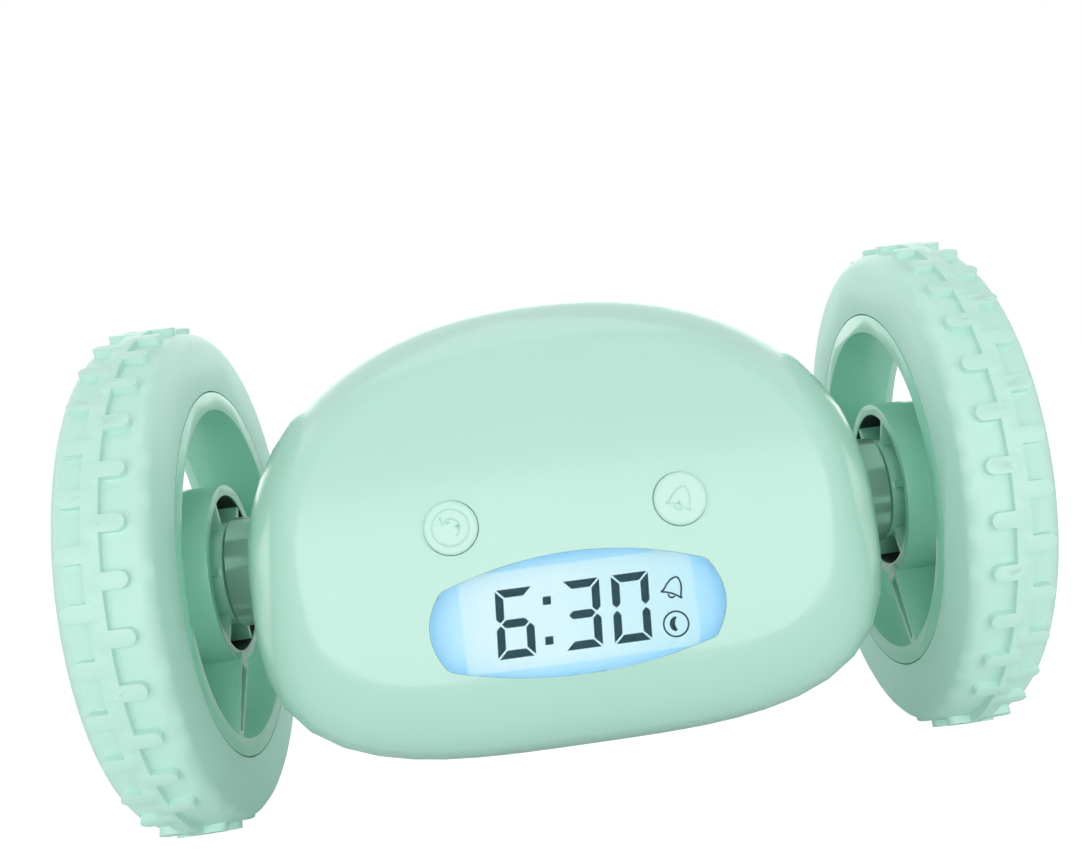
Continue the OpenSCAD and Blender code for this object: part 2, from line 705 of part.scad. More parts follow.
module motor_shaft_shape() at_pos(motor_pos)
    bar_x(motor_shaft_r, motor_mid_gap + 2, first_x + FAST_W + 0.3);

module first_gear_shape() at_pos(first_pos) difference() {
    union() {
        large_gear(fast_module, MOTOR_DIR, first_x, first_x + FAST_W);
        small_gear(fast_module, FAST_DIR + small_turn, first_x + FAST_W, second_x + FAST_W + 0.6);
        bar_x(1.3, gear_x1 + 0.3, gear_x2 - 0.3);
    }
    bar_x(gear_pin_r + RUN_FIT, 0, FAR);
}

module second_gear_shape() at_pos(second_pos) difference() {
    union() {
        large_gear(fast_module, FAST_DIR, second_x, second_x + FAST_W);
        small_gear(slow_module, SLOW_DIR + small_turn, second_x + FAST_W, output_x + SLOW_W + 0.6);
        bar_x(1.6, gear_x1 + 0.3, gear_x2 - 0.3);
    }
    bar_x(gear_pin_r + RUN_FIT, 0, FAR);
}

module output_gear_shape() difference() {
    union() {
        large_gear(slow_module, SLOW_DIR, output_x, output_x + SLOW_W);
        bar_x(4, output_x, gear_x2 - 0.3);
        bar_x(3.2, output_x - 1.2, output_x);
    }
    bar_x(axle_r + SEAT_FIT, 0, FAR);
}

// Outline round the whole train, drawn out by grow
module train_outline(grow) {
    large_r = fast_module * (wheel_teeth / 2 + 0.5) + 1.4;
    slow_r = slow_module * (wheel_teeth / 2 + 0.5) + 1.4;
    hull() {
        circle(r = slow_r + grow, $fn = 32);
        translate(second_pos) circle(r = large_r + grow, $fn = 32);
        translate(first_pos) circle(r = large_r + grow, $fn = 32);
        translate(motor_pos) circle(r = 4.5 + grow, $fn = 32);
    }
}

module gear_case_shape() difference() {
    union() {
        along_x(gear_x0, gear_x2) train_outline(1.2);
        in_body() block(ear_screw[0] - 2.2, gear_x2 - 0.5, ear_y, ear_y + EAR_T,
                        axle_z + 10.3, ear_screw[1] + 2.6);
    }
    along_x(gear_x1, gear_x2 + 1) train_outline(0);
    bar_x(axle_r + RUN_FIT, 0, gear_x1 + 1);
    at_pos(motor_pos) bar_x(3.05, 0, gear_x1 + 1);
    for (p = [first_pos, second_pos]) at_pos(p) bar_x(gear_pin_r + SEAT_FIT, 0, gear_x1 + 1);
    in_body() bar_y(ear_screw[0], ear_screw[1], SCREW_R + 0.15, -FAR, FAR);
}

module gear_cover_shape() difference() {
    along_x(gear_x2, gear_x3) train_outline(1.2);
    bar_x(axle_r + 0.3, 0, FAR);
    for (p = [first_pos, second_pos]) at_pos(p) bar_x(gear_pin_r + SEAT_FIT, 0, FAR);
}

module gear_pins_shape() for (p = [first_pos, second_pos]) at_pos(p)
    bar_x(gear_pin_r, gear_x0 + 0.1, gear_x3 - 0.1);

// Flat sided can with a round nose that locates it in the gear case
module motor_shape() at_pos(motor_pos) difference() {
    union() {
        intersection() {
            bar_x(motor_w / 2, motor_mid_gap, gear_x0);
            rotate([-face_tilt, 0, 0]) block(0, FAR, -motor_t / 2, motor_t / 2, -motor_w, motor_w);
        }
        bar_x(3, gear_x0, gear_x0 + 1.2);
    }
    bar_x(motor_shaft_r + RUN_FIT, motor_mid_gap + 1.9, FAR);
}

module axle_shape() difference() {
    bar_x(axle_r, gear_x0 + 0.1, hub_out_x);
    bar_x(1.25 + SEAT_FIT, hub_out_x - 7, FAR);
}

module axle_bush_shape() difference() {
    union() {
        bar_x(4.5, gear_x3 + 0.1, collar_x1 - 0.2);
        bar_x(6, gear_x3 + 0.1, collar_x0 - 0.2);
    }
    bar_x(axle_r + RUN_FIT, 0, FAR);
}

// ---------------------------------------------------------------- wheels

seat_r = rim_in_r + 2;
lip_t = 1.2;
crown_r = wheel_r - tread_h;

// Direction on a wheel: 0 is the front, 90 the top
function on_wheel(r, a) = [-r * cos(a), r * sin(a)];

RIB_COUNT = 6;
RIB_START = 10;
ARM_COUNT = 3;
ARM_START = -69;
ARM_SWEEP = 12;
SPOKE_HUB_A = -75;
SPOKE_RIM_A = -63;

// One of the three outer arms: wide at the hub, narrower and swept at the rim
module arm_outline(a) {
    hub_r = cup_r - 1;
    rim_r = rim_in_r + 0.6;
    STEPS = 6;
    edge = [for (k = [0 : STEPS]) let (t = k / STEPS)
        [hub_r + (rim_r - hub_r) * t, 30 - 14 * t, ARM_SWEEP * t]];
    polygon(concat(
        [for (e = edge) on_wheel(e[0], a + e[2] - e[1])],
        [for (k = [STEPS : -1 : 0]) on_wheel(edge[k][0], a + edge[k][2] + edge[k][1])]));
}

// Tapered bar from the hub to the rim, drawn in by inset
module spoke_outline(inset, end_inset) {
    p = on_wheel(cup_r - 0.6, SPOKE_HUB_A);
    q = on_wheel(rim_in_r + 0.8, SPOKE_RIM_A);
    d = (q - p) / norm(q - p);
    side = [-d[1], d[0]];
    a = p + d * end_inset;
    b = q - d * end_inset;
    polygon([a + side * (spoke_hub_w / 2 - inset), a - side * (spoke_hub_w / 2 - inset),
             b - side * (spoke_rim_w / 2 - inset), b + side * (spoke_rim_w / 2 - inset)]);
}

module rim_shape() difference() {
    union() {
        revolve_x() polygon([[rim_in_r, wheel_in_x], [seam_r - 0.25, wheel_in_x],
            [seam_r - 0.25, wheel_in_x + lip_t], [seat_r, wheel_in_x + lip_t],
            [seat_r, wheel_out_x - lip_t], [seam_r - 0.25, wheel_out_x - lip_t],
            [seam_r - 0.25, wheel_out_x], [rim_in_r + 2.3, wheel_out_x], [rim_in_r, hub_out_x]]);
        revolve_x() polygon([[cup_r - cup_wall, wheel_in_x + 0.7], [cup_r, wheel_in_x + 0.7],
            [cup_r, hub_out_x], [0, hub_out_x], [0, wheel_in_x + 0.3], [boss_r, wheel_in_x + 0.3],
            [boss_r, hub_floor_x], [cup_r - cup_wall, hub_floor_x]]);
        for (k = [0 : RIB_COUNT - 1]) rotate([-(RIB_START + 360 * k / RIB_COUNT), 0, 0])
            block(wheel_in_x + 1, hub_floor_x + 1, -cup_r + cup_wall / 2, -boss_r + 1, -0.6, 0.6);
        for (k = [0 : ARM_COUNT - 1])
            along_x(hub_out_x - arm_t, hub_out_x) arm_outline(ARM_START + 360 * k / ARM_COUNT);
        along_x(wheel_in_x + 0.2, hub_out_x - 1) spoke_outline(0, 0);
    }
    along_x(wheel_in_x - 1, hub_out_x - arm_t + 0.4) spoke_outline(spoke_wall, 1.9);
    bar_x(axle_r + SEAT_FIT, 0, FAR);
}

module tyre_shape() union() {
    in_arc = [for (a = [0 : 18 : 90]) [crown_r - 3 + 2.7 * sin(a), wheel_in_x + 2.6 - 2.6 * cos(a)]];
    out_arc = [for (a = [90 : -18 : 0]) [crown_r - 3.4 + 3.1 * sin(a), wheel_out_x - 2.6 + 2.6 * cos(a)]];
    revolve_x() polygon(concat(
        [[seam_r, wheel_in_x]], in_arc, [[crown_r, tread_x]], out_arc,
        [[seam_r, wheel_out_x], [seam_r, wheel_out_x - lip_t - SEAT_FIT],
         [seat_r + SEAT_FIT, wheel_out_x - lip_t - SEAT_FIT],
         [seat_r + SEAT_FIT, wheel_in_x + lip_t + SEAT_FIT], [seam_r, wheel_in_x + lip_t + SEAT_FIT]]));
    revolve_x() polygon([[crown_r - 1, tread_x - rib_w / 2], [wheel_r, tread_x - rib_w / 2],
        [wheel_r, tread_x + rib_w / 2], [crown_r - 1, tread_x + rib_w / 2]]);
    for (i = [0 : 2 * bar_count - 1]) rotate([180 * i / bar_count + 91.1, 0, 0])
        tread_bar(i % 2 == 0 ? -1 : 1);
}

// One bar with a round end, standing on the tyre at the top of the wheel
module tread_bar(side) translate([tread_x, 0, crown_r - 1.4]) {
    reach = bar_reach - bar_w / 2;
    h = tread_h + 1.4;
    translate([side > 0 ? 0 : -reach, -bar_w / 2, 0]) cube([reach, bar_w, h]);
    translate([side * reach, 0, 0]) cylinder(r = bar_w / 2, h = h);
}

module hub_cap_shape() revolve_x() polygon([[0, hub_out_x + 1.1], [4, hub_out_x + 1.1],
    [cap_r - 1.2, hub_out_x + 0.8], [cap_r - 1.2, hub_out_x], [cap_r, hub_out_x],
    [cap_r, hub_out_x + 1], [cap_r - 3.5, hub_out_x + 2.2], [0, hub_out_x + 2.2]]);

module wheel_screw_shape() translate([hub_out_x, 0, 0]) rotate([0, -90, 0]) screw(3.4, 0.9, 1.25, 6.5);

module left() mirror([1, 0, 0]) children();

module right_gear_case() color(NYLON) gear_case_shape();
module right_gear_cover() color(NYLON) gear_cover_shape();
module right_gear_pins() color(STEEL) gear_pins_shape();
module right_motor() color(STEEL) motor_shape();
module right_motor_shaft() color(STEEL) motor_shaft_shape();
module right_motor_pinion() color(NYLON) motor_pinion_shape();
module right_first_gear() color(NYLON) first_gear_shape();
module right_second_gear() color(NYLON) second_gear_shape();
module right_output_gear() color(NYLON) output_gear_shape();
module right_axle() color(STEEL) axle_shape();
module right_axle_bush() color(NYLON) axle_bush_shape();
module right_rim() color(MINT_DARK) rim_shape();
module right_tyre() color(MINT) tyre_shape();
module right_hub_cap() color(MINT) hub_cap_shape();
module right_wheel_screw() color(STEEL) wheel_screw_shape();

module left_gear_case() color(NYLON) left() gear_case_shape();
module left_gear_cover() color(NYLON) left() gear_cover_shape();
module left_gear_pins() color(STEEL) left() gear_pins_shape();
module left_motor() color(STEEL) left() motor_shape();
module left_motor_shaft() color(STEEL) left() motor_shaft_shape();
module left_motor_pinion() color(NYLON) left() motor_pinion_shape();
module left_first_gear() color(NYLON) left() first_gear_shape();
module left_second_gear() color(NYLON) left() second_gear_shape();
module left_output_gear() color(NYLON) left() output_gear_shape();
module left_axle() color(STEEL) left() axle_shape();
module left_axle_bush() color(NYLON) left() axle_bush_shape();
module left_rim() color(MINT_DARK) left() rim_shape();
module left_tyre() color(MINT) left() tyre_shape();
module left_hub_cap() color(MINT) left() hub_cap_shape();
module left_wheel_screw() color(STEEL) left() wheel_screw_shape();

front_casing();
rear_casing();
battery_door();
door_screws();
casing_screws();
display_window();
lcd_glass();
light_guide();
snooze_button();
alarm_button();
main_board();
front_key_switches();
board_screws();
hour_button();
minute_button();
alarm_set_button();
mode_button();
rear_board();
rear_key_switches();
rear_board_screws();
loudspeaker();
battery_cell_1();
battery_cell_2();
battery_cell_3();
battery_cell_4();
battery_contacts();
battery_springs();
balance_weight();
left_gear_case();
left_gear_cover();
left_gear_pins();
left_motor();
left_motor_shaft();
left_motor_pinion();
left_first_gear();
left_second_gear();
left_output_gear();
left_axle();
left_axle_bush();
left_rim();
left_tyre();
left_hub_cap();
left_wheel_screw();
right_gear_case();
right_gear_cover();
right_gear_pins();
right_motor();
right_motor_shaft();
right_motor_pinion();
right_first_gear();
right_second_gear();
right_output_gear();
right_axle();
right_axle_bush();
right_rim();
right_tyre();
right_hub_cap();
right_wheel_screw();
gear_case_screws();
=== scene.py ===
# %% [markdown]
# # A runaway alarm clock
#
# The real object is an alarm clock that rolls off the bedside table: a rounded, glossy body hung
# between two big treaded wheels. The CAD model already has every rigid piece at its real size,
# so this script only adds what a CAD solid lacks: soft moulded edges, symbols pressed into the
# buttons, a display that glows, and the finish of each plastic.
#
# The first step loads that model as a fixed frame. Lengths are in metres, +X points to the right
# of someone reading the face, -Y is the way the face looks and +Z is up.

# %% Load the CAD model
import json
import math

import bmesh
import bpy
from mathutils import Matrix, Vector
from mathutils.bvhtree import BVHTree
from mathutils.geometry import barycentric_transform


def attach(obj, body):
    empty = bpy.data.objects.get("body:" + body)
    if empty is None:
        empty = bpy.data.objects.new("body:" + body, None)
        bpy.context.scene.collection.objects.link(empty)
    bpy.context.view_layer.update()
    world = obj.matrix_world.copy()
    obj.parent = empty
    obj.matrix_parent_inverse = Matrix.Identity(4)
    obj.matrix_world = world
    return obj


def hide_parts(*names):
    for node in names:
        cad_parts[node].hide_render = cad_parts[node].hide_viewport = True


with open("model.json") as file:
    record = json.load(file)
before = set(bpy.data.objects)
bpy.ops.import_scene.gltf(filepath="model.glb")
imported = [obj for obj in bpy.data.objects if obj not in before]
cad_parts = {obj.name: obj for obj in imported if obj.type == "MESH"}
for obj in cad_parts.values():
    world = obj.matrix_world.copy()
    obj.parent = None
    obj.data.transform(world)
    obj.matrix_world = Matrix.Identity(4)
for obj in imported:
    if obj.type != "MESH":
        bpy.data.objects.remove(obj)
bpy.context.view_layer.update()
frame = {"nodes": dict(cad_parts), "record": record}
MM = 0.001

# %% [markdown]
# The face leans back a little, and everything on it is easier to place in the body's own frame,
# where the face looks straight along -Y. One matrix turns that frame into the model's frame. Its
# numbers are the lean of the face and the place of the body in front of the wheel axle. The front
# of the display glass and the middle of the face are given in that frame.

# %% The body's own frame
FACE_TILT = 11.9
BODY_FRAME = Matrix.Translation((0, -6.2 * MM, -1.6 * MM)) @ Matrix.Rotation(math.radians(-FACE_TILT), 4, "X")
LCD_FRONT = -29.6 * MM
FACE_FRONT = -33 * MM
print("the face leans back", FACE_TILT, "degrees")

# %% [markdown]
# A few steps come up again and again: choosing one object, adding one, moving it to its place for
# good, and working a modifier into a mesh.

# %% Shared steps
SMOOTH = math.radians(38)


def deselect():
    """An operator works on all that is selected, and a fresh import is, so start from nothing."""
    if bpy.context.object and bpy.context.object.mode != "OBJECT":
        bpy.ops.object.mode_set(mode="OBJECT")
    bpy.ops.object.select_all(action="DESELECT")


def choose(piece):
    deselect()
    piece.select_set(True)
    bpy.context.view_layer.objects.active = piece


def add(name, data):
    """A new object that shows the data."""
    made = bpy.data.objects.new(name, data)
    bpy.context.scene.collection.objects.link(made)
    return made


def settle(piece, place=Matrix.Identity(4)):
    """Moves a finished piece to its place, then keeps that place in the mesh."""
    piece.matrix_world = place @ piece.matrix_world
    choose(piece)
    bpy.ops.object.transform_apply(location=True, rotation=True, scale=True)
    return piece


def work_in(piece, name, kind, **settings):
    """Gives the chosen piece a modifier and applies it to its mesh."""
    modifier = piece.modifiers.new(name, kind)
    for key, value in settings.items():
        setattr(modifier, key, value)
    bpy.ops.object.modifier_apply(modifier=modifier.name)


# %% [markdown]
# ## Finishes
#
# Moulded plastic is never one flat colour. The pigment drifts a little, and the gloss is broken
# by a fine grain from the tool and by handling. Several materials here need that, so it is one
# node group, placed in each material with its own values. The group puts out a colour, a
# roughness and a height, which change over the surface. What is the same everywhere, such as the
# coat, is set on the shader itself.

# %% Shared node group: moulded grain
def linear(hex_colour):
    """A colour as it is written on screen, such as "c8f0e1", turned into the shader's linear values."""
    values = [int(hex_colour[i:i + 2], 16) / 255 for i in (0, 2, 4)]
    return tuple(v / 12.92 if v <= 0.04045 else ((v + 0.055) / 1.055) ** 2.4 for v in values) + (1.0,)


def set_inputs(node, **values):
    """Sets inputs of a node by name, with _ for each space."""
    for key, value in values.items():
        node.inputs[key.replace("_", " ")].default_value = value


def maths(tree, operation, *values):
    """A Math node. A value is a number or the output of another node."""
    node = tree.nodes.new("ShaderNodeMath")
    node.operation = operation
    for given_to, value in zip(node.inputs, values):
        if isinstance(value, (int, float)):
            given_to.default_value = value
        else:
            tree.links.new(value, given_to)
    return node.outputs[0]


def blended(tree, factor, a, b):
    """A Mix node for two colours, each the output of another node."""
    node = tree.nodes.new("ShaderNodeMix")
    node.data_type = "RGBA"
    for key, value in (("Factor", factor), ("A", a), ("B", b)):
        tree.links.new(value, node.inputs[key])
    return node.outputs["Result"]


def new_group(name, inputs, outputs):
    """A node group with those sockets, each a colour or a number by its name."""
    group = bpy.data.node_groups.new(name, "ShaderNodeTree")
    for way, names in (("INPUT", inputs), ("OUTPUT", outputs)):
        for socket in names:
            kind = "NodeSocketColor" if "Colour" in socket else "NodeSocketFloat"
            group.interface.new_socket(socket, in_out=way, socket_type=kind)
    return group, group.nodes.new("NodeGroupInput").outputs, group.nodes.new("NodeGroupOutput").inputs


CLOUD_SCALE, CLOUD_DETAIL, GRAIN_DETAIL = 45, 3, 2


def make_grain_group():
    group, given, result = new_group(
        "moulded_grain", ("Colour", "Drift Colour", "Drift", "Roughness", "Smudge", "Grain Size"),
        ("Colour", "Roughness", "Height"))
    place = group.nodes.new("ShaderNodeTexCoord").outputs["Object"]
    cloud = group.nodes.new("ShaderNodeTexNoise")
    set_inputs(cloud, Scale=CLOUD_SCALE, Detail=CLOUD_DETAIL)
    grain = group.nodes.new("ShaderNodeTexNoise")
    set_inputs(grain, Detail=GRAIN_DETAIL)
    for noise in (cloud, grain):
        group.links.new(place, noise.inputs["Vector"])
    group.links.new(given["Grain Size"], grain.inputs["Scale"])
    share = maths(group, "MULTIPLY", cloud.outputs["Fac"], given["Drift"])
    rough = maths(group, "MULTIPLY_ADD", cloud.outputs["Fac"], given["Smudge"], given["Roughness"])
    group.links.new(blended(group, share, given["Colour"], given["Drift Colour"]), result["Colour"])
    group.links.new(rough, result["Roughness"])
    group.links.new(grain.outputs["Fac"], result["Height"])
    return group


GRAIN = make_grain_group()
print("node group:", GRAIN.name)

# %% [markdown]
# Every plastic, the soft rubber and the metals inside use that group and differ in their values:
# the gloss of the casing is high, the tyres are duller, and the nylon gears are almost matt. A
# light coat on the casing gives the clear highlight of a polished tool over a softer base.

# %% Materials from the grain group
RELIEF_DEPTH = 0.02 * MM


def new_material(name):
    """A material with nodes, and its shader."""
    material = bpy.data.materials.new(name)
    material.use_nodes = True
    return material, material.node_tree.nodes["Principled BSDF"]


def grained(name, colour, drift_colour, roughness, drift=0.3, smudge=0.08, grain=2500.0, bump=0.05, **plain):
    """A material with the shared grain. plain holds what is the same all over, by socket name."""
    material, shader = new_material(name)
    nodes, links = material.node_tree.nodes, material.node_tree.links
    set_inputs(shader, **plain)
    skin = nodes.new("ShaderNodeGroup")
    skin.node_tree = GRAIN
    set_inputs(skin, Colour=linear(colour), Drift_Colour=linear(drift_colour), Drift=drift,
               Roughness=roughness, Smudge=smudge, Grain_Size=grain)
    relief = nodes.new("ShaderNodeBump")
    set_inputs(relief, Strength=bump, Distance=RELIEF_DEPTH)
    links.new(skin.outputs["Colour"], shader.inputs["Base Color"])
    links.new(skin.outputs["Roughness"], shader.inputs["Roughness"])
    links.new(skin.outputs["Height"], relief.inputs["Height"])
    links.new(relief.outputs["Normal"], shader.inputs["Normal"])
    return material


CASING = grained("casing_gloss_plastic", "b9e3d3", "b0ddcc", 0.19, smudge=0.07,
                 Coat_Weight=0.25, Coat_Roughness=0.08)
BUTTON = grained("button_satin_plastic", "c8eddf", "bee7d8", 0.3, Coat_Weight=0.1, Coat_Roughness=0.15)
RIM = grained("rim_plastic", "96d6bf", "8ccfb6", 0.28, Coat_Weight=0.15, Coat_Roughness=0.12)
TYRE = grained("tyre_soft_rubber", "c4ecdf", "bae5d5", 0.4, grain=4000.0, bump=0.12, smudge=0.12)
NYLON = grained("gear_nylon", "ece9df", "e2ded2", 0.5)
STEEL = grained("bright_steel", "c4c6ca", "b4b7bc", 0.3, Metallic=1.0, smudge=0.15)
MOTOR_CAN = grained("motor_can", "b9bcc0", "a7abb0", 0.3, Metallic=1.0, smudge=0.15)
CELL_SLEEVE = grained("cell_sleeve", "4f6d7a", "46626e", 0.3)
BOARD = grained("circuit_board", "1c5a38", "174f31", 0.45)
SPEAKER = grained("speaker_paper", "17171a", "202024", 0.7)
# Painted shade: a near-black colour for the deep pockets of the hub cups, which are dark from shadow.
PAINTED_SHADE = grained("dark_recess", "15221d", "101a16", 0.6)
SEGMENT = grained("lcd_segment", "163440", "132e39", 0.7, drift=0.2, Specular_IOR_Level=0.1)
print("materials so far:", len(bpy.data.materials))

# %% [markdown]
# The window is clear plastic, which needs a refracting shader and no grain. It mirrors little, as
# a display window does, or the dark digits behind it would look grey.

# %% Window
WINDOW, clear = new_material("clear_window")
set_inputs(clear, Base_Color=(1, 1, 1, 1), Roughness=0.03, IOR=1.35,
           Specular_Tint=(0.17, 0.34, 0.38, 1), Transmission_Weight=1.0)
print("window material:", WINDOW.name)

# %% [markdown]
# The panel behind the window is lit by small lamps at its rim, so it glows: palest left of the
# middle, turning to cyan on the right, and a clear light blue close to the rim. How close is a
# distance that runs from 0 in the middle to 1 at the rim. The window is neither an ellipse nor a
# box, so across and up are each raised to the third power, which squares an ellipse a little. The
# glass, the panel and the light guide all use this, so it is a second node group.

# %% Shared node group: display glow
DISPLAY_MIDDLE = BODY_FRAME @ Vector((0, LCD_FRONT, -12.9 * MM))
DISPLAY_HALF_W, DISPLAY_HALF_H = 23.5 * MM, 9.6 * MM
SQUARENESS = 3.0
ACROSS_SLOPE, ACROSS_START, ACROSS_EASE, RIM_EASE = 0.75, 0.2, 0.3, 0.1


def make_glow_group():
    group, given, result = new_group(
        "display_glow", ("Left Colour", "Right Colour", "Rim Colour", "Rim Start"), ("Colour",))
    place = group.nodes.new("ShaderNodeTexCoord")
    stretch = group.nodes.new("ShaderNodeMapping")
    stretch.vector_type = "TEXTURE"
    set_inputs(stretch, Location=DISPLAY_MIDDLE, Rotation=(math.radians(-FACE_TILT), 0, 0),
               Scale=(DISPLAY_HALF_W, 1, DISPLAY_HALF_H))
    split = group.nodes.new("ShaderNodeSeparateXYZ")
    group.links.new(place.outputs["Object"], stretch.inputs["Vector"])
    group.links.new(stretch.outputs["Vector"], split.inputs[0])
    cubes = [maths(group, "POWER", maths(group, "ABSOLUTE", split.outputs[axis]), SQUARENESS)
             for axis in ("X", "Z")]
    far = maths(group, "POWER", maths(group, "ADD", *cubes), 1 / SQUARENESS)
    span = maths(group, "SUBTRACT", 1.0, given["Rim Start"])
    past = maths(group, "DIVIDE", maths(group, "SUBTRACT", far, given["Rim Start"]), span)
    near_rim = maths(group, "SMOOTH_MIN", maths(group, "MAXIMUM", past, 0.0), 1.0, RIM_EASE)
    slope = maths(group, "MULTIPLY_ADD", split.outputs["X"], ACROSS_SLOPE, ACROSS_START)
    across = maths(group, "SMOOTH_MAX", slope, 0.0, ACROSS_EASE)
    middle = blended(group, across, given["Left Colour"], given["Right Colour"])
    group.links.new(blended(group, near_rim, middle, given["Rim Colour"]), result["Colour"])
    return group


GLOW = make_glow_group()


def glowing(name, left, right, rim, rim_start, strength):
    """A lit surface behind the window. Its own colour is a dull grey blue, and the rest is its glow."""
    material, shader = new_material(name)
    set_inputs(shader, Base_Color=linear("6f8a96"), Roughness=0.5, Emission_Strength=strength)
    glow = material.node_tree.nodes.new("ShaderNodeGroup")
    glow.node_tree = GLOW
    set_inputs(glow, Left_Colour=linear(left), Right_Colour=linear(right), Rim_Colour=linear(rim),
               Rim_Start=rim_start)
    material.node_tree.links.new(glow.outputs["Colour"], shader.inputs["Emission Color"])
    return material


LCD_EDGE = glowing("lcd_edge_glow", "dcf1f4", "bde8ee", "a4d6ee", 0.62, 0.76)
LCD_PANEL = glowing("lcd_panel_glow", "daf0f2", "b6e5ec", "b4dff0", 0.64, 0.72)
GUIDE = glowing("light_guide_glow", "bce5f3", "a8ddef", "84c6f2", 0.75, 0.76)
print("lit materials:", LCD_EDGE.name, LCD_PANEL.name, GUIDE.name)

# %% [markdown]
# ## Camera and light
#
# The camera stands where the photographer's did: just above the clock, a little to its left, and
# rolled, so that the clock leans across the picture. Its lens and the shift of the picture are
# measured in the photo's own pixels.

# %% Camera
CAMERA_AT = Vector((-4.4, -207.5, 29.3)) * MM
YAW, PITCH, ROLL = (math.radians(a) for a in (3.89, 5.75, -6.85))
FOCAL_PX, WIDTH_PX, SHIFT_X_PX, SHIFT_Y_PX = 1079.8, 1082, -66.7, 55.9
SENSOR_MM, NEAREST = 36, 0.01

look = Vector((math.sin(YAW) * math.cos(PITCH), math.cos(YAW) * math.cos(PITCH), -math.sin(PITCH)))
level_right = look.cross(Vector((0, 0, 1))).normalized()
level_up = level_right.cross(look)
right = math.cos(ROLL) * level_right + math.sin(ROLL) * level_up
up = math.cos(ROLL) * level_up - math.sin(ROLL) * level_right

camera = add("camera", bpy.data.cameras.new("camera"))
camera.data.lens = SENSOR_MM * FOCAL_PX / WIDTH_PX
camera.data.shift_x = SHIFT_X_PX / WIDTH_PX
camera.data.shift_y = SHIFT_Y_PX / WIDTH_PX
camera.data.clip_start = NEAREST
turn = Matrix((right, up, -look)).transposed().to_4x4()
camera.matrix_world = Matrix.Translation(CAMERA_AT) @ turn
bpy.context.scene.camera = camera
print("camera lens", round(camera.data.lens, 2))

# %% [markdown]
# The studio is plain: a broad, low lamp in front, which the lower part of the glossy face mirrors,
# one overhead, one on each side, and a broad one behind that lights the upper edges.

# %% Lamps
MIDDLE = (0, 0, 0)

for name, at, aim, width, height, power in (
        ("lamp_top", (-0.05, -0.05, 0.7), MIDDLE, 0.6, 0.6, 1.0),
        ("lamp_left", (-0.65, 0.1, 0.22), MIDDLE, 0.3, 0.6, 0.45),
        ("lamp_right", (0.65, 0.1, 0.25), MIDDLE, 0.3, 0.6, 0.2),
        ("lamp_front", (0.0, -0.7, 0.125), (0, 0, 0.125), 1.3, 0.33, 3.0),
        ("lamp_back", (0.0, 0.8, 0.36), MIDDLE, 1.5, 0.6, 3.6)):
    light = bpy.data.lights.new(name, "AREA")
    light.energy = power
    light.shape = "RECTANGLE"
    light.size, light.size_y = width, height
    lamp = add(name, light)
    lamp.location = at
    lamp.rotation_euler = (Vector(aim) - Vector(at)).to_track_quat("-Z", "Y").to_euler()
print("lamps:", len(bpy.data.lights))

# %% [markdown]
# The background is white to the camera and in reflections, and gives the clock itself much less
# light, so that pale plastic doesn't wash out. The floor looks white too, but still takes the
# clock's shadow: its own shading is mixed with a plain white by Light Path, so that only the
# darker part of the shadow shows.

# %% World and floor
SKY_STRENGTH, FLOOR_GLOW, WHITE_SHARE = 0.42, 1.3, 0.75
FLOOR_Z, FLOOR_SIZE = -46.75 * MM, 6


def mixed_output(tree, share, first, second, output):
    """Sends two shaders to a tree's output. share says how much of the second is seen."""
    mix = tree.nodes.new("ShaderNodeMixShader")
    for value, given_to in zip((share, first.outputs[0], second.outputs[0]), mix.inputs):
        tree.links.new(value, given_to)
    tree.links.new(mix.outputs[0], tree.nodes[output].inputs["Surface"])


bpy.context.scene.view_settings.view_transform = "Standard"
world = bpy.data.worlds.new("studio")
bpy.context.scene.world = world
world.use_nodes = True
sky = world.node_tree
soft_sky = sky.nodes["Background"]
set_inputs(soft_sky, Color=(0.95, 0.98, 1.0, 1), Strength=SKY_STRENGTH)
white_sky = sky.nodes.new("ShaderNodeBackground")
set_inputs(white_sky, Color=(1, 1, 1, 1), Strength=1.0)
rays = sky.nodes.new("ShaderNodeLightPath").outputs
seen = maths(sky, "MAXIMUM", rays["Is Camera Ray"], rays["Is Transmission Ray"])
mixed_output(sky, maths(sky, "MAXIMUM", seen, rays["Is Glossy Ray"]), soft_sky, white_sky, "World Output")

deselect()
bpy.ops.mesh.primitive_plane_add(size=FLOOR_SIZE, location=(0, 0, FLOOR_Z))
floor = bpy.context.object
floor.name = "floor"
floor_paint, matt = new_material("floor_paint")
paint = floor_paint.node_tree
set_inputs(matt, Base_Color=(0.9, 0.91, 0.91, 1), Roughness=0.9)
white = paint.nodes.new("ShaderNodeEmission")
set_inputs(white, Color=(1, 1, 1, 1), Strength=FLOOR_GLOW)
rays = paint.nodes.new("ShaderNodeLightPath").outputs
share = maths(paint, "MULTIPLY", rays["Is Camera Ray"], WHITE_SHARE)
mixed_output(paint, share, matt, white, "Material Output")
floor.data.materials.append(floor_paint)
print("floor at", round(FLOOR_Z / MM, 1), "mm")

# %% [markdown]
# ## Moulded pieces
#
# A moulded piece has no sharp edge, because its tool leaves a small radius all round, and the CAD
# solid has those edges sharp. A copy of its mesh is merged, flat areas are dissolved into whole
# faces, and a narrow bevel then rounds each sharp edge. Smooth shading does the rest, and the copy
# takes the CAD node's place. The casings and the battery door come first. They go without the
# bevel, since they meet in fine, crisp lines.

# %% Dressed copies of CAD nodes
WELD = 0.001 * MM


